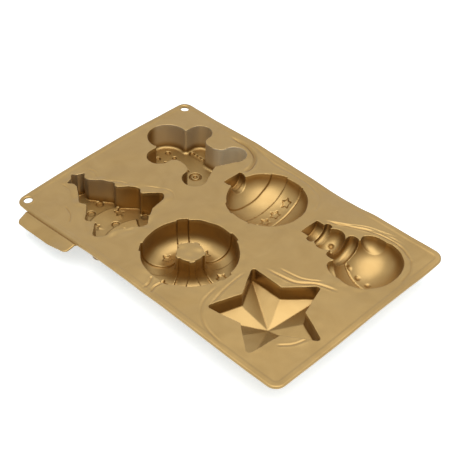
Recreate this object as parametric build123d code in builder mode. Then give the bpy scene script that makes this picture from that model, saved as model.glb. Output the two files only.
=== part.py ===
# Six-cavity silicone mould for small festive cakes, lying with its cavities open to the top.
# One moulding, built as regions that meet face to face: the sheet, its rim, two hanging rings,
# six cups and a pull tab that bends at its root.
# Lengths in mm. Long side along X, short side along Y, +Z up, cup undersides at Z = 0.
# Cup forms are drawn with the top of the sheet at Z = 0 and moved up when they are finished.

import math
import os

from build123d import *

os.makedirs("parts", exist_ok=True)

# Sheet and rim
sheet_length = 300.0
sheet_width = 200.0
sheet_corner = 9.0
sheet_thick = 1.6
sheet_top = 28.0
rim_width = 5.0
rim_thick = 3.0
rim_proud = 0.3
rim_round = 1.2

# Hanging rings
hang_inset = 7.6
hang_inset_y = 8.5
hang_x = hang_inset - sheet_length / 2
hang_y = sheet_width / 2 - hang_inset_y
hang_hole = 3.75
hang_ring = 6.0
hang_dish = 0.8

# Pull tab, bent down about an axis along its root
tab_left = 18.0 - sheet_length / 2
tab_right = tab_left + 64.0
tab_reach = 13.2
tab_thick = 2.0
tab_corner = 5.0
tab_droop = 28.0
tab_edge = 0.6
tab_axis_out = 0.6
tab_gap = 0.1
tab_axis_y = -sheet_width / 2 - tab_axis_out
tab_axis_z = rim_proud - rim_thick / 2

# The tab reaches past one long side, so the sheet sits off the middle by half of that reach
tab_past = (tab_axis_out + tab_edge
            + (tab_reach - tab_edge) * math.cos(math.radians(tab_droop))
            + (tab_thick / 2 - tab_edge) * math.sin(math.radians(tab_droop)))
sheet_shift = tab_past / 2

# Walls
wall = 1.8
floor = 2.2
relief = 1.0
floor_relief = 1.4

# Rows of cups: one third of the sheet each way from the middle
column = sheet_length / 3
row_far = sheet_width / 4 - 0.5
row_near = 3.5 - sheet_width / 4

# Gingerbread figure, head towards -X, drawn from the middle of its arms
man_x = -4.5 - column
man_y = row_far
man_depth = sheet_top - floor
man_head = (man_x - 16.5, 18.0)
man_arm_y = 25.2
man_arm_r = 11.0
man_foot = (man_x + 44.0, 24.5)
man_foot_r = 11.0
man_waist = 17.2
man_crotch_x = man_x + 44.2
man_floor_round = 3.0
man_crease = 1.8
man_bend = 7.0

# Bauble, cap towards -X
bauble_x = 2.0
bauble_y = row_far
bauble_r = 34.5
bauble_depth = 23.0
bauble_cap_end = bauble_x - 41.5
bauble_cap_mid = bauble_x - 35.5
bauble_neck = bauble_x - 29.5
bauble_cap_r = 10.0
bauble_cap_depth = 12.5
band_first = bauble_x - 21.0
band_second = bauble_x - 7.5
band_third = bauble_x + 10.5
band_proud = 1.1
band_ridge = 1.6

# Snowman, hat towards -X, drawn from the middle of its body
snow_x = column + 11.5
snow_y = row_far
crown_start, crown_end, crown_r, crown_depth = snow_x - 62.5, snow_x - 53.5, 10.0, 11.0
brim_start, brim_end, brim_r = snow_x - 54.5, snow_x - 48.0, 14.0
head_mid, head_half, head_r, head_depth = snow_x - 40.0, 11.0, 14.5, 14.8
scarf_start, scarf_end, scarf_r = snow_x - 31.5, snow_x - 21.5, 17.2
body_half, body_r, body_depth = 26.0, 31.0, 23.0
arm_mid, arm_half, arm_out, arm_wide, arm_depth = snow_x - 8.5, 14.5, 21.5, 9.0, 12.5

# Tree, tip towards -X, half widths at the corners of its three tiers
tree_x = -column
tree_y = row_near
tree_depth = sheet_top - floor
tree_star = (tree_x - 31.0, 10.5)
tier_corner = ((tree_x - 5.0, 20.0), (tree_x + 16.0, 31.5), (tree_x + 35.5, 40.0))
tier_notch = ((tree_x - 1.0, 15.0), (tree_x + 21.0, 24.0))
tree_base = ((tree_x + 41.0, 33.0), (tree_x + 43.5, 19.0), (tree_x + 49.0, 9.0),
             (tree_x + 55.5, 3.5))
tree_round = 4.5
tree_crease = 2.5
tree_floor_round = 2.0
tier_edge = (tree_x - 4.0, tree_x + 18.5)
tier_step = 1.8
tier_slope = 16.0
tier_edge_r = 34.0

# Wreath
wreath_x = 4.5
wreath_y = row_near + 3.5
wreath_out = 39.5
wreath_in = 12.5
wreath_depth = 24.7
wreath_bands = 5
wreath_first_band = 1.0
wreath_band = 10.0
wreath_proud = 1.5

# Faceted star
star_x = column - 7.6
star_y = row_near + 1.9
star_tip = 48.5
star_inner = 26.5
star_turn = 5.3
star_tip_round = 2.5
star_wall = 13.5
star_depth = 23.3

# Relief on the cakes, pressed into the cavity floors
small_star = 5.6
small_star_inner = 0.5
button_r = 3.5


def star_points(outer, inner, turn, x=0.0, y=0.0):
    """Corners of a five-pointed star, starting at the tip that points along the given turn."""
    corners = []
    for step in range(10):
        reach = outer if step % 2 == 0 else inner
        angle = math.radians(turn + 36.0 * step)
        corners.append((x + reach * math.cos(angle), y + reach * math.sin(angle)))
    return corners


def drum(start, end, radius, round_edge, middle, grow):
    """Round drum along X with rounded edges."""
    with BuildPart() as piece:
        with BuildSketch():
            with Locations(((start + end) / 2, 0)):
                RectangleRounded(end - start + 2 * grow, 2 * (radius + grow), round_edge + grow)
            with Locations(((start + end) / 2, -500)):
                Rectangle(1000, 1000, mode=Mode.SUBTRACT)
        revolve(axis=Axis.X)
    return piece.part.moved(Location((0, middle, 0)))


def trough(start, end, radius, depth, middle, grow):
    """Channel along X with upright sides and a half-round bottom, square at both ends."""
    with BuildPart() as piece:
        with BuildSketch(Plane.YZ.offset(start - grow)):
            with Locations((0, radius - depth)):
                Circle(radius + grow)
            with Locations((0, (radius - depth + 20) / 2)):
                Rectangle(2 * (radius + grow), 20 - radius + depth)
        extrude(amount=end - start + 2 * grow)
    return piece.part.moved(Location((0, middle, 0)))


def egg(x, y, half_x, half_y, depth, grow):
    """Ball squashed to three half sizes."""
    with BuildPart() as piece:
        Sphere(1.0)
        scale(by=(half_x + grow, half_y + grow, depth + grow))
    return piece.part.moved(Location((x, y, 0)))


def prism(sketch, low, high):
    """A flat outline stretched between two heights."""
    with BuildPart() as piece:
        with BuildSketch(Plane.XY.offset(low)):
            add(sketch)
        extrude(amount=high - low)
    return piece.part


def star_prism(x, y, turn, low, high, size=small_star):
    """A small five-pointed star stretched between two heights."""
    with BuildSketch() as outline:
        with BuildLine():
            Polyline(*star_points(size, size * small_star_inner, turn, x, y), close=True)
        make_face()
        fillet(outline.vertices(), 0.35)
    return prism(outline.sketch, low, high)


def within(tool, form):
    """The part of a tool that lies inside a form."""
    with BuildPart() as shared:
        add(tool)
        add(form, mode=Mode.INTERSECT)
    return shared.part


def pressed_stud(middle, half, x, y, reach):
    """Shallow round stud, pressed square to the surface of a squashed ball below the sheet."""
    across = ((x - middle[0]) / half[0], (y - middle[1]) / half[1])
    down = math.sqrt(1 - across[0] ** 2 - across[1] ** 2)
    normal = (across[0] / half[0], across[1] / half[1], -down / half[2])
    length = math.hypot(*normal)
    ball = (reach ** 2 + relief ** 2) / (2 * relief)
    lift = (ball - relief) / length
    with BuildPart() as piece:
        Sphere(ball)
    return piece.part.moved(Location((
        x - normal[0] * lift, y - normal[1] * lift, -half[2] * down - normal[2] * lift)))


# Gingerbread figure
def man_outline(grow):
    """Plan of the figure: head, two arms in one bar, trunk, spread legs and round feet."""
    with BuildSketch() as outline:
        with Locations((man_x, 0)):
            SlotCenterToCenter(2 * man_arm_y, 2 * man_arm_r, rotation=90)
        with Locations((man_foot[0], man_foot[1]), (man_foot[0], -man_foot[1])):
            Circle(man_foot_r)
        for side in (1, -1):
            with BuildLine():
                Polyline(
                    (man_head[0], 0), (man_head[0] + 8, side * (man_waist - 3)),
                    (man_x + 10, side * man_waist), (man_x + 25, side * man_waist),
                    (man_foot[0] - 9, side * (man_foot[1] - 3)),
                    (man_foot[0], side * man_foot[1]),
                    (man_foot[0] + 9, side * (man_foot[1] - 6)), (man_crotch_x, 0), close=True,
                )
            make_face()
        offset(amount=man_bend)
        offset(amount=-man_bend)
        with Locations((man_head[0], 0)):
            Circle(man_head[1])
        offset(amount=man_crease)
        offset(amount=-man_crease)
        if grow:
            offset(amount=grow)
    return outline.sketch.moved(Location((0, man_y, 0)))


with BuildPart() as man_outer:
    with BuildSketch(Plane.XY.offset(-sheet_top)):
        add(man_outline(wall))
    extrude(amount=sheet_top)
    fillet(man_outer.edges().group_by(Axis.Z)[0], man_floor_round + 1.0)

with BuildPart() as man_inner:
    with BuildSketch(Plane.XY.offset(-man_depth)):
        add(man_outline(0))
    extrude(amount=man_depth)
    fillet(man_inner.edges().group_by(Axis.Z)[0], man_floor_round)

def stud(x, y, radius, depth, hollow=0.0):
    """A round stud, or a ring, standing on a cavity floor at the given depth."""
    with BuildPart() as piece:
        with BuildSketch(Plane.XY.offset(-depth - floor_relief)):
            with Locations((x, y)):
                Circle(radius)
                if hollow:
                    Circle(hollow, mode=Mode.SUBTRACT)
        extrude(amount=floor_relief + 4)
    return piece.part


eye_x, mouth_x, icing_x = man_x - 22.7, man_x - 13.3, man_x
man_reliefs = [stud(man_x + 8.5, man_y, 2.3, man_depth), stud(man_x + 20.1, man_y, 2.0, man_depth),
               stud(man_x + 20.1, man_y, 5.6, man_depth, 3.9)]
for side in (1, -1):
    man_reliefs.append(stud(eye_x, man_y + side * 6.3, 2.5, man_depth))
    man_reliefs.append(stud(mouth_x, man_y + side * 5.5, 2.0, man_depth))
    for cuff_x, cuff_y, turn in ((icing_x, 21.5, 0), (man_foot[0] - 3.5, 19.5, side * 45)):
        with BuildPart() as cuff:
            with BuildSketch(Plane.XY.offset(-man_depth - floor_relief)):
                with Locations(Location((cuff_x, man_y + side * cuff_y, 0), (0, 0, turn))):
                    with GridLocations(4.2, 0, 4, 1):
                        Circle(2.7)
            extrude(amount=floor_relief + 0.5)
        man_reliefs.append(cuff.part)
with BuildPart() as smile:
    with BuildSketch(Plane.XY.offset(-man_depth - floor_relief)):
        with BuildLine() as smile_line:
            ThreePointArc((mouth_x, man_y + 5.5), (mouth_x + 3.0, man_y), (mouth_x, man_y - 5.5))
        trace(smile_line.line, line_width=2.0)
    extrude(amount=floor_relief + 0.5)
man_reliefs.append(smile.part)

with BuildPart() as cup_gingerbread:
    add(man_outer.part)
    add(man_inner.part, mode=Mode.SUBTRACT)
    add(man_reliefs, mode=Mode.SUBTRACT)

# Bauble
def bauble_form(grow):
    """Half-round bauble: squashed ball with a wider band and a rib, and a two-step cap."""
    reach = bauble_r + grow
    with BuildSketch() as belts:
        Circle(reach + band_proud)
        with BuildSketch(mode=Mode.PRIVATE) as strips:
            with Locations(((band_first + band_second) / 2 - bauble_x, 0)):
                Rectangle(band_second - band_first + 2 * grow, 200)
            with Locations((band_third - bauble_x, 0)):
                Rectangle(band_ridge + 2 * grow, 200)
        add(strips.sketch, mode=Mode.INTERSECT)
    with BuildPart() as ball:
        with BuildSketch():
            Circle(reach)
            add(belts.sketch)
            with Locations((0, -100)):
                Rectangle(200, 200, mode=Mode.SUBTRACT)
        revolve(axis=Axis.X)
        scale(by=(1, 1, (bauble_depth + grow) / reach))
    with BuildPart() as form:
        add(ball.part.moved(Location((bauble_x, bauble_y, 0))))
        add(trough(bauble_cap_end, bauble_cap_mid, bauble_cap_r, bauble_cap_depth,
                   bauble_y, grow))
        add(trough(bauble_cap_mid - 1.0, bauble_neck + 3.0, bauble_cap_r - 1.2,
                   bauble_cap_depth - 1.5, bauble_y, grow))
    return form.part


def lower_half(form):
    """The part of a form below the top of the sheet."""
    with BuildPart() as half:
        add(form)
        with Locations((0, 0, -50)):
            Box(600, 600, 100, mode=Mode.INTERSECT)
    return half.part


bauble_outer = lower_half(bauble_form(wall))
bauble_inner = bauble_form(0)
bauble_relief_form = bauble_form(relief)
bauble_stars = []
for turn in (-66, -36, -6, 24, 54):
    tool = star_prism(1.8, 0, 36, 5.0, 60.0)
    tool = tool.rotate(Axis.X, 180 + turn).moved(Location((bauble_x, bauble_y, 0)))
    bauble_stars.append(within(tool, bauble_relief_form))

with BuildPart() as cup_bauble:
    add(bauble_outer)
    add(bauble_inner, mode=Mode.SUBTRACT)
    add(bauble_stars, mode=Mode.SUBTRACT)

# Snowman
def snow_form(grow):
    """Half-round snowman: hat, brim, head, scarf, body and two arms."""
    with BuildPart() as form:
        add(egg(snow_x, snow_y, body_half, body_r, body_depth, grow))
        add(trough(crown_start, crown_end, crown_r, crown_depth, snow_y, grow))
        add(drum(brim_start, brim_end, brim_r, 2.4, snow_y, grow))
        add(egg(head_mid, snow_y, head_half, head_r, head_depth, grow))
        add(drum(scarf_start, scarf_end, scarf_r, 4.0, snow_y, grow))
        for side in (1, -1):
            add(egg(arm_mid, snow_y + side * arm_out, arm_half, arm_wide, arm_depth, grow))
    return form.part


snow_outer = lower_half(snow_form(wall))
snow_inner = snow_form(0)
head_middle, head_halves = (head_mid, snow_y), (head_half, head_r, head_depth)
body_middle, body_halves = (snow_x, snow_y), (body_half, body_r, body_depth)
snow_studs = [pressed_stud(head_middle, head_halves, head_mid + 2.7, snow_y, 1.9)]
for side in (1, -1):
    snow_studs.append(
        pressed_stud(head_middle, head_halves, head_mid - 2.0, snow_y + side * 5.8, 2.2))
for along in (-17.5, -8.0, 2.5):
    snow_studs.append(pressed_stud(body_middle, body_halves, snow_x + along, snow_y, 2.5))
with BuildPart() as coat_edge:
    with BuildSketch(Plane.XY.offset(-60)):
        with BuildLine() as coat_line:
            ThreePointArc((snow_x - 22.0, snow_y - 1.0), (snow_x - 7.5, snow_y - 5.5),
                          (snow_x + 10.5, snow_y - 5.5))
        trace(coat_line.line, line_width=1.5)
    extrude(amount=60)
coat_relief = within(
    coat_edge.part, egg(snow_x, snow_y, body_half, body_r, body_depth, relief))

with BuildPart() as cup_snowman:
    add(snow_outer)
    add(snow_inner, mode=Mode.SUBTRACT)
    add(snow_studs, mode=Mode.SUBTRACT)
    add(coat_relief, mode=Mode.SUBTRACT)

# Tree
def tree_outline(grow):
    """Plan of the tree: a star at the tip, three tiers and a short stem."""
    side_up = [tier_corner[0], tier_notch[0], tier_corner[1], tier_notch[1], tier_corner[2]]
    side_up = side_up + list(tree_base)
    side_down = [(x, -y) for x, y in reversed(side_up)]
    with BuildSketch() as outline:
        with BuildLine():
            Polyline((tree_star[0] + 1, 2.5), *side_up, *side_down,
                     (tree_star[0] + 1, -2.5), close=True)
        make_face()
        offset(amount=-tree_round)
        offset(amount=tree_round)
        with BuildLine():
            Polyline(*star_points(tree_star[1], tree_star[1] * 0.55, 180, tree_star[0], 0),
                     close=True)
        make_face()
        offset(amount=-0.8)
        offset(amount=0.8 + grow + tree_crease)
        offset(amount=-tree_crease)
    return outline.sketch.moved(Location((0, tree_y, 0)))


with BuildPart() as tree_outer:
    with BuildSketch(Plane.XY.offset(-sheet_top)):
        add(tree_outline(wall))
    extrude(amount=sheet_top)
    fillet(tree_outer.edges().group_by(Axis.Z)[0], tree_floor_round)

with BuildPart() as tree_inner:
    with BuildSketch(Plane.XY.offset(-tree_depth)):
        add(tree_outline(0))
    extrude(amount=tree_depth)

tier_wedges = []
for edge_x in tier_edge:
    with BuildPart() as wedge:
        with BuildSketch(Plane.XZ.offset(-tree_y)):
            with BuildLine():
                Polyline(
                    (edge_x, -tree_depth - 1.0), (edge_x, -tree_depth + tier_step),
                    (edge_x + tier_slope, -tree_depth), (edge_x + tier_slope, -tree_depth - 1.0),
                    close=True,
                )
            make_face()
        turn_axis = Axis((edge_x + tier_edge_r, tree_y, 0), (0, 0, 1))
        revolve(axis=turn_axis, revolution_arc=64)
    tier_wedges.append(wedge.part.rotate(turn_axis, -32))

def tier_depth(x, y):
    """Depth of the tree's floor, which steps up at the edge of each tier and slopes back down."""
    rise = 0.0
    for edge_x in tier_edge:
        reach = math.hypot(x - edge_x - tier_edge_r, y)
        if tier_edge_r - tier_slope < reach < tier_edge_r:
            rise = tier_step * (1 - (tier_edge_r - reach) / tier_slope)
    return tree_depth - rise


tree_reliefs = []
for stud_x, stud_y in ((25.5, 26.0), (25.5, -26.0), (-14.2, 9.0), (-9.5, -4.5), (15.6, 1.5)):
    tree_reliefs.append(stud(tree_x + stud_x, tree_y + stud_y, button_r,
                             tier_depth(tree_x + stud_x, stud_y)))
for mark_x, mark_y in ((6.5, 14.0), (6.5, -14.0), (29.0, 0.0)):
    mark_depth = tier_depth(tree_x + mark_x, mark_y)
    tree_reliefs.append(star_prism(tree_x + mark_x, tree_y + mark_y, 0,
                                   -mark_depth - floor_relief, -mark_depth + 4))

with BuildPart() as tree_cavity:
    add(tree_inner.part)
    add(tier_wedges, mode=Mode.SUBTRACT)

with BuildPart() as cup_tree:
    add(tree_outer.part)
    add(tree_cavity.part, mode=Mode.SUBTRACT)
    add(tree_reliefs, mode=Mode.SUBTRACT)

# Wreath
def wreath_ring(grow):
    """Ring with upright sides and a round crest, turned about its own upright axis."""
    middle = (wreath_out + wreath_in) / 2
    half = (wreath_out - wreath_in) / 2 + grow
    straight = wreath_depth - (wreath_out - wreath_in) / 2
    with BuildPart() as ring:
        with BuildSketch(Plane.XZ):
            with BuildLine():
                Line((middle + half, 0), (middle + half, -straight))
                ThreePointArc((middle + half, -straight), (middle, -straight - half),
                              (middle - half, -straight))
                Line((middle - half, -straight), (middle - half, 0))
                Line((middle - half, 0), (middle + half, 0))
            make_face()
        revolve(axis=Axis.Z)
    return ring.part


def wreath_form(grow):
    """The ring with five ribbons wound round it."""
    with BuildPart() as bars:
        for number in range(wreath_bands):
            turn = wreath_first_band + number * 360.0 / wreath_bands
            with Locations(Location((0, 0, -50), (0, 0, turn))):
                with Locations((50, 0, 0)):
                    Box(100, wreath_band + 2 * grow, 100)
    with BuildPart() as ribbons:
        add(wreath_ring(grow + wreath_proud))
        add(bars.part, mode=Mode.INTERSECT)
    with BuildPart() as form:
        add(wreath_ring(grow))
        add(ribbons.part)
    return form.part


wreath_relief_form = wreath_ring(relief)
wreath_at = Location((wreath_x, wreath_y, 0))
wreath_stars = []
for number in range(wreath_bands):
    turn = wreath_first_band + (number + 0.5) * 360.0 / wreath_bands
    tool = star_prism(26.0, 0, 0, -60.0, -12.0).rotate(Axis.Z, turn)
    wreath_stars.append(within(tool, wreath_relief_form).moved(wreath_at))
wreath_outer = wreath_form(wall).moved(wreath_at)

with BuildPart() as cup_wreath:
    add(wreath_outer)
    with Locations((wreath_x, wreath_y, -sheet_thick / 2)):
        Cylinder(wreath_in, sheet_thick)
    add(wreath_form(0).moved(wreath_at), mode=Mode.SUBTRACT)
    add(wreath_stars, mode=Mode.SUBTRACT)

# Faceted star: upright walls, then ten flat facets that meet in a point
def star_form(grow):
    """Star prism with rounded tips, closed by a shallow ten-sided point."""
    side_reach, side_rise = math.cos(math.radians(36)), math.sin(math.radians(36))
    middle_to_side = star_tip * star_inner * side_rise / math.hypot(
        star_tip - star_inner * side_reach, star_inner * side_rise)
    steep = (star_depth - star_wall) / middle_to_side
    sink = grow * math.hypot(1, steep)
    size = 1 + grow / middle_to_side
    corners = star_points(star_tip * size, star_inner * size, star_turn)
    edge = star_wall + sink - grow * steep
    apex = star_depth + sink
    with BuildPart() as point:
        with BuildSketch(Plane.XY.offset(-edge)) as base:
            with BuildLine():
                Polyline(*corners, close=True)
            make_face()
        loft([base.sketch.face(), Vertex(0, 0, -apex)], ruled=True)
    with BuildPart() as tool:
        with BuildSketch(Plane.XY.offset(-edge)):
            with BuildLine():
                Polyline(*corners, close=True)
            make_face()
        extrude(amount=edge)
        add(point.part)
    with BuildPart() as form:
        with BuildSketch(Plane.XY.offset(-apex)) as plan:
            with BuildLine():
                Polyline(*corners, close=True)
            make_face()
            fillet(plan.vertices().filter_by(
                lambda corner: math.hypot(corner.X, corner.Y) > star_inner * size + 5),
                star_tip_round + grow)
        extrude(amount=apex)
        add(tool.part, mode=Mode.INTERSECT)
    return form.part.moved(Location((star_x, star_y, 0)))


with BuildPart() as cup_star:
    add(star_form(wall))
    add(star_form(0), mode=Mode.SUBTRACT)

# Hanging rings: thickened discs with a dished top and a round hole through them
with BuildPart() as hang_plug:
    with BuildSketch(Plane.XY.offset(rim_proud - rim_thick)):
        with Locations((hang_x, hang_y)):
            Circle(hang_ring)
    extrude(amount=rim_thick)

with BuildPart() as hanging_ring_far:
    add(hang_plug.part)
    with Locations((hang_x, hang_y, 0)):
        Hole(hang_hole)
    with Locations((hang_x, hang_y, rim_proud)):
        Cone(hang_hole + 0.2, hang_ring - 0.6, hang_dish * 2, mode=Mode.SUBTRACT)

with BuildPart() as hanging_ring_near:
    mirror(hanging_ring_far.part, about=Plane.XZ)

# Rim: a rounded bead round the sheet, hollowed along the root of the tab
with BuildPart() as rim:
    with BuildSketch(Plane.XY.offset(rim_proud - rim_thick)):
        RectangleRounded(sheet_length, sheet_width, sheet_corner)
        RectangleRounded(sheet_length - 2 * rim_width, sheet_width - 2 * rim_width,
                         sheet_corner - rim_width, mode=Mode.SUBTRACT)
    extrude(amount=rim_thick)
    outer_edges = rim.edges().filter_by(
        lambda edge: abs(edge.center().X) > sheet_length / 2 - 3 or
        abs(edge.center().Y) > sheet_width / 2 - 3)
    fillet(outer_edges.filter_by(Axis.Z, reverse=True), rim_round)
    add(hang_plug.part, mode=Mode.SUBTRACT)
    add(hang_plug.part.mirror(Plane.XZ), mode=Mode.SUBTRACT)
    with Locations(Location(((tab_left + tab_right) / 2, tab_axis_y, tab_axis_z), (0, 90, 0))):
        Cylinder(tab_thick / 2 + tab_gap, tab_right - tab_left + 2 * tab_gap,
                 mode=Mode.SUBTRACT)

# Sheet: flat web between the rim and the cups
with BuildPart() as deck:
    with BuildSketch(Plane.XY.offset(-sheet_thick)):
        RectangleRounded(sheet_length - 2 * rim_width, sheet_width - 2 * rim_width,
                         sheet_corner - rim_width)
    extrude(amount=sheet_thick)
    add(hang_plug.part, mode=Mode.SUBTRACT)
    add(hang_plug.part.mirror(Plane.XZ), mode=Mode.SUBTRACT)
    add(man_outer.part, mode=Mode.SUBTRACT)
    add(tree_outer.part, mode=Mode.SUBTRACT)
    add(bauble_form(wall), mode=Mode.SUBTRACT)
    add(snow_form(wall), mode=Mode.SUBTRACT)
    add(star_form(wall), mode=Mode.SUBTRACT)
    add(wreath_outer, mode=Mode.SUBTRACT)
    with Locations((wreath_x, wreath_y, -sheet_thick / 2)):
        Cylinder(wreath_in, sheet_thick, mode=Mode.SUBTRACT)

# Pull tab: a flat tongue with a round root, turned down about the axis of that root
with BuildPart() as tab:
    with BuildSketch(Plane.XY.offset(-tab_thick / 2)) as tab_plan:
        with Locations(((tab_left + tab_right) / 2, -tab_reach / 2)):
            Rectangle(tab_right - tab_left, tab_reach)
        fillet(tab_plan.vertices().group_by(Axis.Y)[0], tab_corner)
    extrude(amount=tab_thick)
    fillet(tab.edges().filter_by(
        lambda edge: edge.center().Y < -2.0).filter_by(Axis.Z, reverse=True), tab_edge)
    with Locations(Location(((tab_left + tab_right) / 2, 0, 0), (0, 90, 0))):
        Cylinder(tab_thick / 2, tab_right - tab_left)
tab_placed = tab.part.rotate(Axis.X, tab_droop).moved(Location((0, tab_axis_y, tab_axis_z)))

# Everything moves from the drawing position to its place above the table
place = Location((0, sheet_shift, sheet_top))
regions = {
    "deck": deck.part,
    "rim": rim.part,
    "hanging_ring_far": hanging_ring_far.part,
    "hanging_ring_near": hanging_ring_near.part,
    "cup_gingerbread": cup_gingerbread.part,
    "cup_bauble": cup_bauble.part,
    "cup_snowman": cup_snowman.part,
    "cup_tree": cup_tree.part,
    "cup_wreath": cup_wreath.part,
    "cup_star": cup_star.part,
    "pull_tab": tab_placed,
}
for name, region in regions.items():
    solid = region.moved(place)
    solid.label = name
    print(name, round(solid.volume), len(solid.solids()), solid.is_valid)
    export_step(solid, "parts/" + name + ".step")
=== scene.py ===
"""Silicone mould for six festive cakes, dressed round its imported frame."""

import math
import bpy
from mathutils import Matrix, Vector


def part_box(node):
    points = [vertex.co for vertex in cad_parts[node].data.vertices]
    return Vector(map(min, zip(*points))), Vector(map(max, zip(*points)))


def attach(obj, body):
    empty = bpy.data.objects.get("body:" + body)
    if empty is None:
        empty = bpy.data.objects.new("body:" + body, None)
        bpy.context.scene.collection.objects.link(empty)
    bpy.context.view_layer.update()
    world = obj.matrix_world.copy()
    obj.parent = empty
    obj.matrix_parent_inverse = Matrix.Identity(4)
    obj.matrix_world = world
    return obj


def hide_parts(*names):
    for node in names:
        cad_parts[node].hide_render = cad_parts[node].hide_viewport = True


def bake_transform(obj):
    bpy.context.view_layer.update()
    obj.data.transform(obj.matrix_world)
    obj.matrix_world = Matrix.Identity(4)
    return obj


bl_info = {
    "name": "Festive silicone mould",
    "version": (1, 0, 0),
    "blender": (4, 5, 0),
    "location": "3D View > Sidebar > Mould",
    "description": "Soft skin, finish, floor and light of a silicone mould for small cakes",
    "category": "Object",
}

import bmesh
import bpy
import numpy as np
from mathutils import Matrix, Vector
from mathutils.bvhtree import BVHTree

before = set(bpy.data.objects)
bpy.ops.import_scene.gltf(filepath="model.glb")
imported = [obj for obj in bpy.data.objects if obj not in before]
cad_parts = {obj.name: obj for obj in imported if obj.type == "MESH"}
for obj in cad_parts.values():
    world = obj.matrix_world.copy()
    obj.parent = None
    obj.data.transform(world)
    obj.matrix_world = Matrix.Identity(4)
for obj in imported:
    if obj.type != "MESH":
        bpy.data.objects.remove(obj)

MM = 0.001
CUPS = ("cup_gingerbread", "cup_bauble", "cup_snowman", "cup_tree", "cup_wreath", "cup_star")
SHEET_NODES = ("deck", "rim", "hanging_ring_far", "hanging_ring_near")
# Regions of the skin: the sheet, then the cups from 1 on in the order of CUPS, then the tab.
SHEET_REGION = 0
TAB_REGION = len(CUPS) + 1

rim_low, rim_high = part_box("rim")
SHEET_MIDDLE = Vector(((rim_low.x + rim_high.x) / 2, (rim_low.y + rim_high.y) / 2,
                       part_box("deck")[1].z))
HALF_LONG = (rim_high.x - rim_low.x) / 2
HALF_SHORT = (rim_high.y - rim_low.y) / 2


# Settings
class SkinSettings(bpy.types.PropertyGroup):
    """How the soft silicone lies."""

    grain: bpy.props.FloatProperty(
        name="Mesh grain", description="Spacing of the skin's mesh", default=0.5 * MM,
        unit="LENGTH")
    rounding: bpy.props.IntProperty(
        name="Rounding", description="Turns of smoothing that round the moulded edges", default=3)
    corner_sag: bpy.props.FloatProperty(
        name="Corner sag", description="How far the corner beside the tab hangs", default=8.5 * MM,
        unit="LENGTH")
    edge_wave: bpy.props.FloatProperty(
        name="Edge wave", description="Height of the waves in the far edge", default=2.4 * MM,
        unit="LENGTH")
    crease: bpy.props.FloatProperty(
        name="Crease depth", description="Depth of the creases round the cups", default=0.55 * MM,
        unit="LENGTH")
    ripple: bpy.props.FloatProperty(
        name="Ripple", description="Height of the slow unevenness of the sheet",
        default=0.17 * MM, unit="LENGTH")


class FinishSettings(bpy.types.PropertyGroup):
    """Colour and gloss of the silicone, and the painted sheen and painted shade laid on it."""

    gold: bpy.props.StringProperty(
        name="Gold", description="Colour of the pigmented silicone, sRGB hex", default="#AC8E57")
    gold_deep: bpy.props.StringProperty(
        name="Deep gold", description="Colour where the pigment flowed together, sRGB hex",
        default="#997A43")
    gloss: bpy.props.FloatProperty(
        name="Roughness", description="Roughness of the satin surface", default=0.42,
        min=0.0, max=1.0, subtype="FACTOR")
    # Painted sheen: a pale, less metallic colour laid on some cup walls in place of the greyish
    # reflection they show.
    painted_sheen: bpy.props.StringProperty(
        name="Film", description="Colour of the pale film left on some walls, sRGB hex",
        default="#D2C2A2")
    # Painted shade: the colour laid on deep steep cup walls and in concave corners, where shade
    # falls.
    painted_shade: bpy.props.StringProperty(
        name="Dark walls", description="Colour of walls and corners darkened by use, sRGB hex",
        default="#866022")


class StageSettings(bpy.types.PropertyGroup):
    """Floor, light and camera."""

    floor: bpy.props.StringProperty(
        name="Floor", description="Colour of the floor, sRGB hex", default="#F4F4F2")
    floor_glow: bpy.props.StringProperty(
        name="Floor glow", description="Tint that whitens the floor, sRGB hex", default="#F2FBFF")
    floor_glow_strength: bpy.props.FloatProperty(
        name="Floor glow strength", description="How much the floor is whitened", default=0.6)
    room: bpy.props.StringProperty(
        name="Room", description="Colour of the light from the room, sRGB hex", default="#D8D8D8")
    room_strength: bpy.props.FloatProperty(
        name="Room strength", description="Strength of the light from the room", default=0.55)
    lamp: bpy.props.FloatProperty(
        name="Softbox power", description="Power of the overhead softbox", default=19.0,
        unit="POWER")
    lens: bpy.props.FloatProperty(
        name="Lens", description="Focal length of the camera in millimetres", default=84.83)


# Small helpers
def linear(hex_colour):
    """sRGB hex to a linear colour with alpha."""
    value = hex_colour.lstrip("#")
    parts = [int(value[i:i + 2], 16) / 255 for i in (0, 2, 4)]
    return tuple(c / 12.92 if c <= 0.04045 else ((c + 0.055) / 1.055) ** 2.4
                 for c in parts) + (1.0,)


def add_node(tree, kind, links=None, **settings):
    """Adds a node. Settings name its properties or inputs; links name inputs and their sources."""
    node = tree.nodes.new(kind)
    for key, value in settings.items():
        if hasattr(node, key):
            setattr(node, key, value)
        else:
            node.inputs[key.replace("_", " ")].default_value = value
    for key, source in (links or {}).items():
        tree.links.new(source, node.inputs[key])
    return node


def ramp(value, start, end):
    """A soft step, from 0 where the value is at start to 1 where it is at end."""
    t = np.clip((value - start) / (end - start), 0.0, 1.0)
    return t * t * (3 - 2 * t)


def hump(value, middle, half):
    """A rounded hump, 1 in the middle and small past two half widths."""
    return np.exp(-((value - middle) / half) ** 2)


def slow_noise(x, y, z, wavelength, seed):
    """Smooth unevenness of about -1 to 1, a sum of plane waves with settled directions."""
    waves = 14
    share_up = 0.4
    peak = 1.5
    draws = np.random.RandomState(seed)
    total = np.zeros_like(x)
    for _ in range(waves):
        direction = draws.normal(size=3)
        direction[2] *= share_up
        direction /= np.linalg.norm(direction)
        k = 2 * math.pi / (wavelength * draws.uniform(0.7, 1.6))
        phase = draws.uniform(0, 2 * math.pi)
        total += np.sin(k * (direction[0] * x + direction[1] * y + direction[2] * z) + phase)
    return total / math.sqrt(waves) / peak


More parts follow.
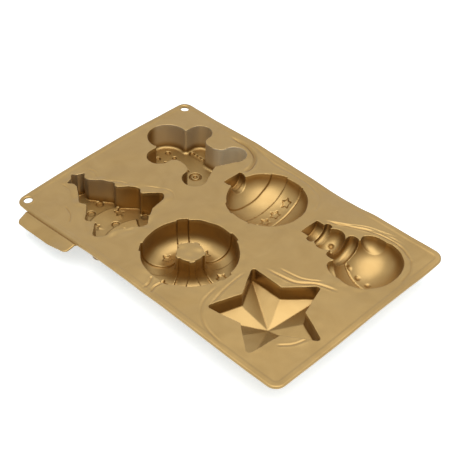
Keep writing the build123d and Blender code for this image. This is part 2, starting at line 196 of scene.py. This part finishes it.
def line_distance(x, y, points):
    """Distance from each place to a line through points, and how far along it is, 0 to 1."""
    best = np.full(x.shape, np.inf)
    along = np.zeros(x.shape)
    count = len(points) - 1
    for i in range(count):
        ax, ay = points[i]
        bx, by = points[i + 1]
        dx, dy = bx - ax, by - ay
        t = np.clip(((x - ax) * dx + (y - ay) * dy) / (dx * dx + dy * dy), 0, 1)
        d = np.hypot(x - ax - t * dx, y - ay - t * dy)
        near = d < best
        best[near] = d[near]
        along[near] = ((i + t) / count)[near]
    return best, along


def curve(points, steps=8):
    """A smooth line through points, as many short pieces."""
    p = [points[0]] + list(points) + [points[-1]]
    out = []
    for i in range(1, len(p) - 2):
        for s in range(steps):
            t = s / steps
            out.append(tuple(
                0.5 * (2 * p[i][k] + (p[i + 1][k] - p[i - 1][k]) * t
                       + (2 * p[i - 1][k] - 5 * p[i][k] + 4 * p[i + 1][k] - p[i + 2][k]) * t * t
                       + (3 * p[i][k] - p[i - 1][k] - 3 * p[i + 1][k] + p[i + 2][k]) * t ** 3)
                for k in (0, 1)))
    out.append(tuple(points[-1]))
    return out


# How the soft mould lies, in millimetres: x and y from the middle of the sheet, z from the floor

# Creases pressed into the sheet by folding and storing: depth share, half width, points. The last
# is the groove along the root of the tab.
CREASES = (
    (2.6, 1.5, ((-84, 90), (-62, 90.5), (-46, 85), (-38, 73), (-37, 60))),
    (1.2, 1.1, ((58, -14), (84, -9), (99, 2), (116, 8))),
    (0.8, 0.9, ((66, -6), (86, -2), (101, 8))),
    (0.7, 1.0, ((51, -28), (53, -52), (58, -74))),
    (0.6, 1.0, ((47, -50), (52, -76), (70, -91), (96, -96))),
    (1.3, 0.9, ((52, 63), (70, 72), (92, 82), (116, 84), (138, 74))),
    (1.0, 0.9, ((58, 66), (76, 76), (96, 85.5), (118, 87))),
    (0.8, 0.8, ((62, 68), (84, 83), (108, 90))),
    (0.8, 0.9, ((132, 78), (140, 66), (143, 50))),
    (1.2, 0.9, ((4, -84), (8, -90), (9, -97))),
    (1.2, 0.9, ((15, -82), (14, -90), (17, -97))),
    (0.5, 0.8, ((-136, -32), (-128, -30), (-122, -34))),
    (0.5, 0.8, ((-138, -60), (-126, -60), (-114, -66))),
    (0.8, 0.8, ((-112, -76), (-100, -80), (-92, -88))),
    (0.5, 0.8, ((-112, -30), (-100, -23), (-88, -21))),
    (0.5, 0.8, ((-84, -14), (-72, -6), (-60, -2), (-50, -10))),
    (0.6, 1.2, ((-58, 96), (-30, 90), (-6, 91), (16, 90), (30, 84))),
    (0.5, 1.1, ((22, 92), (34, 80), (40, 66))),
    (0.7, 0.9, ((120, -68), (128, -58), (132, -46))),
    (2.2, 0.9, ((-144, -100.4), (-100, -100.4), (-56, -100.4))),
)
# Waves of three edges: height share, place along the edge where one starts, and length over 2 pi.
FAR_WAVE = (0.3, -90, 22)
NEAR_WAVE = (0.16, 20, 17)
END_WAVE = (0.3, -10, 19)
# Single swells of the far edge: height share, middle and half width.
FAR_SWELLS = ((-1.0, 48, 26), (0.25, -60, 22))
# Rise of the far edge towards the plain end: height share, start and end.
FAR_RISE = (0.8, 100, 145)
# How far in from an edge its waves fade by a factor e.
FAR_FADE = 11
EDGE_FADE = 9
WREATH_PLACE = (4.5, -43.0)
ISLAND_EDGE = 15
ISLAND_CRUMPLE = 0.3
# Share of crumpling round the mouth of each cup.
MOUTH_CRUMPLE = {"cup_gingerbread": 0.2, "cup_bauble": 0.35, "cup_snowman": 0.45, "cup_tree": 1.0,
                 "cup_wreath": 0.4, "cup_star": 0.3}
MOUTH_LIFT = 0.42
MOUTH_WAVER = 0.7
WALL_WAVER = 0.18
# Rise of the tab for each millimetre out from its root, in full to the right of this stretch.
TAB_CURL = 0.34
TAB_CURL_START = -92
TAB_CURL_FULL = -70
TAB_ROOT = 2


def hanging_corner(x, y, settings):
    """How far the sheet hangs towards the corner beside the tab. The tab hangs a little further."""
    level_x, corner_x = -10, -150
    level_y, corner_y = 34, -100
    tab_share = 1.15
    across = np.clip((level_x - x) / (level_x - corner_x), 0, 1)
    down = np.clip((level_y - y) / (level_y - corner_y), 0, tab_share)
    return settings.corner_sag / MM * across ** 1.1 * down ** 1.5


def wave(place, share, start, length):
    """An even wave along an edge."""
    return share * np.sin((place - start) / length)


def fade(inward, reach):
    """Share of an edge's wave that is left some way in from the edge."""
    return np.exp(-np.clip(inward, 0, None) / reach)


def edge_waves(x, y, settings):
    """Height of the waves in the far edge, the near edge and the plain end."""
    rise_share, rise_start, rise_end = FAR_RISE
    far = wave(x, *FAR_WAVE) + rise_share * ramp(x, rise_start, rise_end)
    for share, middle, half in FAR_SWELLS:
        far += share * hump(x, middle, half)
    far *= fade(HALF_SHORT / MM - y, FAR_FADE)
    near = wave(x, *NEAR_WAVE) * fade(HALF_SHORT / MM + y, EDGE_FADE)
    end = wave(y, *END_WAVE) * fade(HALF_LONG / MM - x, EDGE_FADE)
    return settings.edge_wave / MM * (far + near + end)


def creases(x, y, settings):
    """Depth of the creases, each a groove between two low lips."""
    lip = 0.22
    end_share = 0.2
    total = np.zeros_like(x)
    for share, half, line in CREASES:
        d, along = line_distance(x, y, curve(line))
        ends = ramp(along, 0, end_share) * ramp(along, 1, 1 - end_share)
        total += share * ends * (hump(d, 0, half) - lip * hump(d, 2 * half, half))
    return settings.crease / MM * total


def crumples(x, y, z, mouth):
    """Height of the wrinkles in the wreath's island and round the mouths of the cups."""
    from_middle = np.hypot(x - WREATH_PLACE[0], y - WREATH_PLACE[1])
    island = ramp(from_middle, ISLAND_EDGE, ISLAND_EDGE - 4)
    return (ISLAND_CRUMPLE * island * slow_noise(x, y, z, wavelength=9, seed=8)
            + MOUTH_LIFT * mouth * slow_noise(x, y, z * 0, wavelength=11, seed=21))


def ripples(x, y, z, settings):
    """Height of the slow unevenness of the sheet."""
    uneven = (slow_noise(x, y, z * 0.4, wavelength=30, seed=3)
              + 0.25 * slow_noise(x, y, z, wavelength=12, seed=5))
    return settings.ripple / MM * uneven


def lie(points, settings, mouth):
    """The soft mould as it lies: a hanging corner, waves in the edges, creases and ripples."""
    x = (points[:, 0] - SHEET_MIDDLE.x) / MM
    y = (points[:, 1] - SHEET_MIDDLE.y) / MM
    z = points[:, 2] / MM
    top = SHEET_MIDDLE.z / MM
    # The cups' feet stay on the floor, and what lies higher follows the sheet. The rim's top lies
    # a little higher than the sheet's.
    rim_share = 1.1
    lift = np.clip(z / top, 0, rim_share)
    # Creases and ripples are in the sheet alone, which is the top few millimetres.
    flat = ramp(z, top - 4.5, top - 2.5)
    past_root = np.clip(-HALF_SHORT / MM - TAB_ROOT - y, 0, None)
    rise = lift * (edge_waves(x, y, settings) - hanging_corner(x, y, settings))
    rise += flat * (ripples(x, y, z, settings) + crumples(x, y, z, mouth)
                    - creases(x, y, settings))
    rise += TAB_CURL * past_root * ramp(x, TAB_CURL_START, TAB_CURL_FULL)
    moved = points.copy()
    moved[:, 2] += rise * MM
    # The walls of the cups waver a little, and their mouths wander.
    wall_waver = (1 - flat) * WALL_WAVER * MM
    mouth_waver = mouth * ramp(z, top - 16, top - 2) * MOUTH_WAVER * MM
    for axis, wall_seed, mouth_seed in ((0, 11, 31), (1, 12, 32)):
        moved[:, axis] += wall_waver * slow_noise(x, y, z, wavelength=17, seed=wall_seed)
        moved[:, axis] += mouth_waver * slow_noise(x, y, z * 0, wavelength=15, seed=mouth_seed)
    return moved


# The plan of the cups
CELL = 1.0 * MM
CHART_MARGIN_LONG = 0.02
CHART_MARGIN_SHORT = 0.03
CHART_LEFT = SHEET_MIDDLE.x - HALF_LONG - CHART_MARGIN_LONG
CHART_FRONT = SHEET_MIDDLE.y - HALF_SHORT - CHART_MARGIN_SHORT
ABOVE_ALL = 0.2


def cup_chart():
    """A plan of the mould in cells: the number of the cup under each, or 0."""
    wide = int((2 * HALF_LONG + 2 * CHART_MARGIN_LONG) / CELL)
    deep = int((2 * HALF_SHORT + 2 * CHART_MARGIN_SHORT) / CELL)
    chart = np.zeros((wide, deep), np.int8)
    for number, name in enumerate(CUPS, start=1):
        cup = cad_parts[name].data
        tree = BVHTree.FromPolygons([v.co for v in cup.vertices],
                                    [p.vertices for p in cup.polygons])
        a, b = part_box(name)
        for i in range(int((a.x - CHART_LEFT) / CELL), int((b.x - CHART_LEFT) / CELL) + 1):
            for j in range(int((a.y - CHART_FRONT) / CELL), int((b.y - CHART_FRONT) / CELL) + 1):
                above = Vector((CHART_LEFT + (i + 0.5) * CELL, CHART_FRONT + (j + 0.5) * CELL,
                                ABOVE_ALL))
                if tree.ray_cast(above, Vector((0, 0, -1)))[0] is not None:
                    chart[i, j] = number
    return chart


def read_chart(chart, points):
    """Values of a chart at points."""
    i = np.clip(((points[:, 0] - CHART_LEFT) / CELL).astype(int), 0, chart.shape[0] - 1)
    j = np.clip(((points[:, 1] - CHART_FRONT) / CELL).astype(int), 0, chart.shape[1] - 1)
    return chart[i, j]


def mouth_chart(chart):
    """How near each cell is to a cup's mouth, strongest round the tree."""
    blurs = 18
    total = np.zeros(chart.shape)
    for number, name in enumerate(CUPS, start=1):
        inside = (chart == number).astype(float)
        for _ in range(blurs):
            for axis in (0, 1):
                inside = (np.roll(inside, 1, axis) + inside + np.roll(inside, -1, axis)) / 3
        # This is 1 where the blurred edge passes one half, and 0 far from it on both sides.
        total += MOUTH_CRUMPLE[name] * 4 * inside * (1 - inside)
    return total


def regions_of(centres, chart):
    """Number of the region that each face belongs to."""
    tab_start = SHEET_MIDDLE.y - HALF_SHORT - 0.2 * MM
    region = read_chart(chart, centres).copy()
    region[centres[:, 1] < tab_start] = TAB_REGION
    return region


# The skin
SKIN = {}
SMOOTHING = 0.55
SWELLING = -0.42
# Share of the painted corner shade that the sheet keeps.
SHEET_CORNER_SHADE = 0.4


def neighbour_mean(values, edges):
    """Mean of each point's neighbours, for one or more columns of values."""
    count = len(values)
    ends = np.concatenate([edges[:, 0], edges[:, 1]])
    others = np.concatenate([edges[:, 1], edges[:, 0]])
    degree = np.maximum(np.bincount(ends, minlength=count), 1)
    return np.stack([np.bincount(ends, weights=values[others, k], minlength=count) / degree
                     for k in range(values.shape[1])], axis=1)


def rounded(points, edges, turns):
    """Rounds the moulded edges in turns of smoothing and swelling, so that relief stays crisp."""
    for _ in range(turns):
        for share in (SMOOTHING, SWELLING):
            points = points + share * (neighbour_mean(points, edges) - points)
    return points


def valleys(points, normals, edges, grain):
    """Share of painted shade in the concave corners, from how far each point lies under its
    neighbours.
    """
    clean, full = 0.015, 0.075
    depth = ((neighbour_mean(points, edges) - points) * normals).sum(axis=1, keepdims=True)
    for _ in range(2):
        depth = neighbour_mean(depth, edges)
    return ramp(depth[:, 0] / grain, clean, full)


def painted_sheen_and_shade(rest, normals, node):
    """Shares of painted sheen and painted shade in a cup, from how steep and how deep it is."""
    x = (rest[:, 0] - SHEET_MIDDLE.x) / MM
    y = (rest[:, 1] - SHEET_MIDDLE.y) / MM
    z = rest[:, 2] / MM
    steep = ramp(np.abs(normals[:, 2]), 0.8, 0.3)
    above_floor = ramp(z, 3, 11)
    below_mouth = ramp(z, 26.5, 23.5)
    painted_sheen = np.zeros(len(rest))
    # Painted sheen on some walls of the gingerbread man and of the tree.
    if node == "cup_gingerbread":
        painted_sheen = above_floor * ramp(y, 44, 54) * (0.6 + 0.4 * ramp(x, -85, -73))
    elif node == "cup_tree":
        painted_sheen = above_floor * ramp(x, -88, -112) * 0.35
    return steep * painted_sheen, steep * below_mouth * (1 - painted_sheen) * 0.8


def grid_mesh(name, points, quads):
    """A smooth mesh from arrays of points and four-sided faces."""
    mesh = bpy.data.meshes.new(name)
    mesh.vertices.add(len(points))
    mesh.vertices.foreach_set("co", points.astype(np.float32).ravel())
    mesh.loops.add(quads.size)
    mesh.loops.foreach_set("vertex_index", quads.astype(np.int32).ravel())
    mesh.polygons.add(len(quads))
    mesh.polygons.foreach_set("loop_start", np.arange(0, quads.size, 4, dtype=np.int32))
    mesh.update(calc_edges=True)
    mesh.polygons.foreach_set("use_smooth", np.ones(len(quads), bool))
    return mesh


def joined_regions(grain):
    """Points, faces and edges of one closed skin round all the frame's solids."""
    joined = bmesh.new()
    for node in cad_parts.values():
        joined.from_mesh(node.data)
    mesh = bpy.data.meshes.new("regions")
    joined.to_mesh(mesh)
    joined.free()
    body = bpy.data.objects.new("regions", mesh)
    bpy.context.scene.collection.objects.link(body)
    remesh = body.modifiers.new("one skin", "REMESH")
    remesh.mode = "VOXEL"
    remesh.voxel_size = grain
    bpy.context.view_layer.update()
    result = body.evaluated_get(bpy.context.evaluated_depsgraph_get()).data
    points = np.empty(len(result.vertices) * 3)
    result.vertices.foreach_get("co", points)
    quads = np.empty(len(result.loops), np.int32)
    result.loops.foreach_get("vertex_index", quads)
    edges = np.empty(len(result.edges) * 2, np.int32)
    result.edges.foreach_get("vertices", edges)
    bpy.data.objects.remove(body)
    bpy.data.meshes.remove(mesh)
    return points.reshape(-1, 3), quads.reshape(-1, 4), edges.reshape(-1, 2)


def moulded_skin():
    """The skin as it lies, shared by the operators that cut pieces from it."""
    if SKIN:
        return SKIN
    settings = bpy.context.scene.mould_skin
    rest, quads, edges = joined_regions(settings.grain)
    rest = rounded(rest, edges, settings.rounding)
    chart = cup_chart()
    points = lie(rest, settings, read_chart(mouth_chart(chart), rest))
    whole = grid_mesh("whole skin", points, quads)
    normals = np.empty(len(points) * 3, np.float32)
    whole.vertex_normals.foreach_get("vector", normals)
    bpy.data.meshes.remove(whole)
    normals = normals.reshape(-1, 3)
    SKIN.update(points=points, quads=quads, normals=normals, rest=rest,
                grime=valleys(points, normals, edges, settings.grain),
                region=regions_of(rest[quads].mean(axis=1), chart))
    return SKIN


def cut_piece(name, number, nodes):
    """The faces of one region as an object that stands for the region's nodes."""
    skin = moulded_skin()
    chosen = skin["quads"][skin["region"] == number]
    used, index = np.unique(chosen, return_inverse=True)
    mesh = grid_mesh(name, skin["points"][used], index.reshape(-1, 4))
    mesh.normals_split_custom_set_from_vertices(
        [tuple(float(v) for v in n) for n in skin["normals"][used]])
    painted_sheen, painted_shade = np.zeros(len(used)), np.zeros(len(used))
    if SHEET_REGION < number < TAB_REGION:
        painted_sheen, painted_shade = painted_sheen_and_shade(skin["rest"][used], skin["normals"][used], nodes[0])
    # Painted shade in the concave corners, weaker on the sheet.
    grime = skin["grime"][used] * (SHEET_CORNER_SHADE if number == SHEET_REGION else 1.0)
    for label, share in (("painted_sheen", painted_sheen), ("painted_shade", np.maximum(painted_shade, grime))):
        layer = mesh.attributes.new(label, "FLOAT", "POINT")
        layer.data.foreach_set("value", share.astype(np.float32))
    piece = bpy.data.objects.new(name, mesh)
    bpy.context.scene.collection.objects.link(piece)
    piece.data.materials.append(silicone())
    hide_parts(*nodes)
    return piece


# Finish
STREAK = 30 * MM
FLAKE = 0.9 * MM
FLAKE_HEIGHT = 0.3 * MM


def silicone():
    """Platinum silicone with gold mica pigment, compression moulded against a satin tool."""
    name = "gold mica silicone, moulded satin"
    if name in bpy.data.materials:
        return bpy.data.materials[name]
    finish = bpy.context.scene.mould_finish
    material = bpy.data.materials.new(name)
    material.use_nodes = True
    tree = material.node_tree
    tree.nodes.clear()
    place = add_node(tree, "ShaderNodeTexCoord").outputs["Object"]
    # The pigment flows in the mould before it cures, which leaves soft streaks.
    flow = add_node(tree, "ShaderNodeTexNoise", {"Vector": place}, Scale=1 / STREAK, Detail=3.0,
                    Distortion=1.6)
    colour = add_node(tree, "ShaderNodeMix", {"Factor": flow.outputs["Fac"]}, data_type="RGBA")
    colour.inputs["A"].default_value = linear(finish.gold_deep)
    colour.inputs["B"].default_value = linear(finish.gold)
    # Mica flakes are about 0.4 mm wide. They are drawn larger, so that they show in the render.
    flakes = add_node(tree, "ShaderNodeTexNoise", {"Vector": place}, Scale=1 / FLAKE, Detail=1.0)
    bump = add_node(tree, "ShaderNodeBump", {"Height": flakes.outputs["Fac"]}, Strength=0.05,
                    Distance=FLAKE_HEIGHT)
    # Painted shade darkens the steep walls and the concave corners, and a painted sheen pales some
    # walls; the mesh stores both shares.
    painted_shade = add_node(tree, "ShaderNodeAttribute", attribute_name="painted_shade")
    with_painted_shade = add_node(tree, "ShaderNodeMix",
                        {"Factor": painted_shade.outputs["Fac"], "A": colour.outputs["Result"]},
                        data_type="RGBA")
    with_painted_shade.inputs["B"].default_value = linear(finish.painted_shade)
    painted_sheen = add_node(tree, "ShaderNodeAttribute", attribute_name="painted_sheen")
    with_painted_sheen = add_node(tree, "ShaderNodeMix",
                      {"Factor": painted_sheen.outputs["Fac"], "A": with_painted_shade.outputs["Result"]},
                      data_type="RGBA")
    with_painted_sheen.inputs["B"].default_value = linear(finish.painted_sheen)
    # The painted sheen also lowers the metallic share there.
    metal = add_node(tree, "ShaderNodeMapRange", {"Value": painted_sheen.outputs["Fac"]},
                     To_Min=0.95, To_Max=0.3)
    shader = add_node(tree, "ShaderNodeBsdfPrincipled",
                      {"Base Color": with_painted_sheen.outputs["Result"], "Normal": bump.outputs["Normal"],
                       "Metallic": metal.outputs["Result"]},
                      Roughness=finish.gloss, IOR=1.42, Coat_Weight=0.55, Coat_Roughness=0.38)
    add_node(tree, "ShaderNodeOutputMaterial", {"Surface": shader.outputs["BSDF"]})
    return material


# Operators
class MouldSheet(bpy.types.Operator):
    """Lays the sheet with its rim and hanging rings"""

    bl_idname = "mould.sheet"
    bl_label = "Sheet"

    def execute(self, context):
        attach(cut_piece("sheet_with_rim", SHEET_REGION, SHEET_NODES), "mould")
        return {"FINISHED"}


class MouldCups(bpy.types.Operator):
    """Hangs the six cups in the sheet"""

    bl_idname = "mould.cups"
    bl_label = "Cups"

    def execute(self, context):
        for number, name in enumerate(CUPS, start=1):
            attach(cut_piece(name.replace("cup_", "cavity_"), number, (name,)), "mould")
        return {"FINISHED"}


class MouldTab(bpy.types.Operator):
    """Adds the pull tab, which bends at its root"""

    bl_idname = "mould.tab"
    bl_label = "Pull tab"

    def execute(self, context):
        tab = cut_piece("tab_skin", TAB_REGION, ("pull_tab",))
        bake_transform(tab)
        return {"FINISHED"}


# The stage: a floor, a softbox, the room's light and the photograph's camera
FLOOR_REACH = 3.0
FLOOR_DROP = 0.3 * MM
SOFTBOX_PLACE = (0.25, -0.15, 1.3)
SOFTBOX_WIDTH = 1.7
CAMERA_AZIMUTH = 43.154
CAMERA_ELEVATION = 40.984
CAMERA_ROLL = 2.204
CAMERA_DISTANCE = 0.87096
CAMERA_AIM = Vector((2.278, -0.18, 0)) * MM
SENSOR_WIDTH = 36.0
CLIP_NEAR = 0.05
CLIP_FAR = 20


class MouldStage(bpy.types.Operator):
    """Sets the floor, the light, the world and the camera"""

    bl_idname = "mould.stage"
    bl_label = "Stage"

    def execute(self, context):
        scene = context.scene
        settings = scene.mould_stage
        self.floor(scene, settings)
        self.softbox(scene, settings)
        self.world(scene, settings)
        self.camera(scene, settings)
        scene.view_settings.view_transform = "Standard"
        return {"FINISHED"}

    def floor(self, scene, settings):
        """A flat floor just under the cups' feet."""
        mesh = bpy.data.meshes.new("floor")
        corners = [(-1, -1), (1, -1), (1, 1), (-1, 1)]
        mesh.from_pydata([(x * FLOOR_REACH, y * FLOOR_REACH, 0) for x, y in corners], [],
                         [(0, 1, 2, 3)])
        floor = bpy.data.objects.new("floor", mesh)
        floor.location.z = -FLOOR_DROP
        scene.collection.objects.link(floor)
        floor.data.materials.append(self.paper(settings))

    def softbox(self, scene, settings):
        """One large square lamp overhead, which points at the mould."""
        data = bpy.data.lights.new("softbox", "AREA")
        data.energy = settings.lamp
        data.shape = "RECTANGLE"
        data.size = SOFTBOX_WIDTH
        data.size_y = SOFTBOX_WIDTH
        softbox = bpy.data.objects.new("softbox", data)
        softbox.location = SOFTBOX_PLACE
        softbox.rotation_euler = (-Vector(SOFTBOX_PLACE)).to_track_quat("-Z", "Y").to_euler()
        scene.collection.objects.link(softbox)

    def world(self, scene, settings):
        """Grey light from the room, with a white background for what shows it."""
        world = bpy.data.worlds.new("studio")
        scene.world = world
        world.use_nodes = True
        tree = world.node_tree
        tree.nodes.clear()
        rays = add_node(tree, "ShaderNodeLightPath")
        room = add_node(tree, "ShaderNodeBackground", Strength=settings.room_strength)
        room.inputs["Color"].default_value = linear(settings.room)
        white = add_node(tree, "ShaderNodeBackground", Strength=1.0)
        white.inputs["Color"].default_value = (1, 1, 1, 1)
        mix = add_node(tree, "ShaderNodeMixShader", {0: self.seen(tree, rays),
                                                     1: room.outputs[0], 2: white.outputs[0]})
        add_node(tree, "ShaderNodeOutputWorld", {"Surface": mix.outputs[0]})

    def seen(self, tree, rays):
        """One for camera, mirror and see-through rays, which show the white background."""
        total = rays.outputs["Is Camera Ray"]
        for name in ("Is Glossy Ray", "Is Transmission Ray"):
            total = add_node(tree, "ShaderNodeMath", {0: total, 1: rays.outputs[name]},
                             operation="MAXIMUM").outputs[0]
        return total

    def paper(self, settings):
        """Matt white paper, whitened for the camera and keeping the shadow."""
        material = bpy.data.materials.new("white paper sweep")
        material.use_nodes = True
        tree = material.node_tree
        tree.nodes.clear()
        rays = add_node(tree, "ShaderNodeLightPath")
        matt = add_node(tree, "ShaderNodeBsdfDiffuse")
        matt.inputs["Color"].default_value = linear(settings.floor)
        glow = add_node(tree, "ShaderNodeEmission", Strength=settings.floor_glow_strength)
        glow.inputs["Color"].default_value = linear(settings.floor_glow)
        both = add_node(tree, "ShaderNodeAddShader", {0: matt.outputs[0], 1: glow.outputs[0]})
        mix = add_node(tree, "ShaderNodeMixShader", {0: self.seen(tree, rays),
                                                     1: matt.outputs[0], 2: both.outputs[0]})
        add_node(tree, "ShaderNodeOutputMaterial", {"Surface": mix.outputs[0]})
        return material

    def camera(self, scene, settings):
        """Camera of the photograph, aimed at a place beside the middle of the sheet."""
        azimuth, elevation, roll = (
            math.radians(a) for a in (CAMERA_AZIMUTH, CAMERA_ELEVATION, CAMERA_ROLL))
        back = Vector((math.sin(azimuth) * math.cos(elevation),
                       -math.cos(azimuth) * math.cos(elevation), math.sin(elevation)))
        right = Vector((0, 0, 1)).cross(back).normalized()
        up = back.cross(right)
        turned = right * math.cos(roll) + up * math.sin(roll)
        upright = up * math.cos(roll) - right * math.sin(roll)
        data = bpy.data.cameras.new("camera")
        data.sensor_width = SENSOR_WIDTH
        data.lens = settings.lens
        data.clip_start, data.clip_end = CLIP_NEAR, CLIP_FAR
        camera = bpy.data.objects.new("camera", data)
        matrix = Matrix((turned, upright, back)).transposed().to_4x4()
        matrix.translation = SHEET_MIDDLE + CAMERA_AIM + back * CAMERA_DISTANCE
        camera.matrix_world = matrix
        scene.collection.objects.link(camera)
        scene.camera = camera


# Panel and registration
class MouldPanel(bpy.types.Panel):
    """Lists the pieces and their settings"""

    bl_idname = "VIEW3D_PT_mould"
    bl_label = "Festive mould"
    bl_space_type = "VIEW_3D"
    bl_region_type = "UI"
    bl_category = "Mould"

    def draw(self, context):
        for group in ("mould_skin", "mould_finish", "mould_stage"):
            settings = getattr(context.scene, group)
            for name in settings.bl_rna.properties.keys():
                if name not in ("rna_type", "name"):
                    self.layout.prop(settings, name)
        for operator in (MouldSheet, MouldCups, MouldTab, MouldStage):
            self.layout.operator(operator.bl_idname)


CLASSES = (SkinSettings, FinishSettings, StageSettings, MouldSheet, MouldCups, MouldTab,
           MouldStage, MouldPanel)


def register():
    for item in CLASSES:
        bpy.utils.register_class(item)
    bpy.types.Scene.mould_skin = bpy.props.PointerProperty(type=SkinSettings)
    bpy.types.Scene.mould_finish = bpy.props.PointerProperty(type=FinishSettings)
    bpy.types.Scene.mould_stage = bpy.props.PointerProperty(type=StageSettings)


def unregister():
    for name in ("mould_stage", "mould_finish", "mould_skin"):
        delattr(bpy.types.Scene, name)
    for item in reversed(CLASSES):
        bpy.utils.unregister_class(item)


def main():
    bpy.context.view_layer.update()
    register()
    bpy.ops.mould.sheet()
    bpy.ops.mould.cups()
    bpy.ops.mould.tab()
    bpy.ops.mould.stage()


if __name__ == "__main__":
    main()
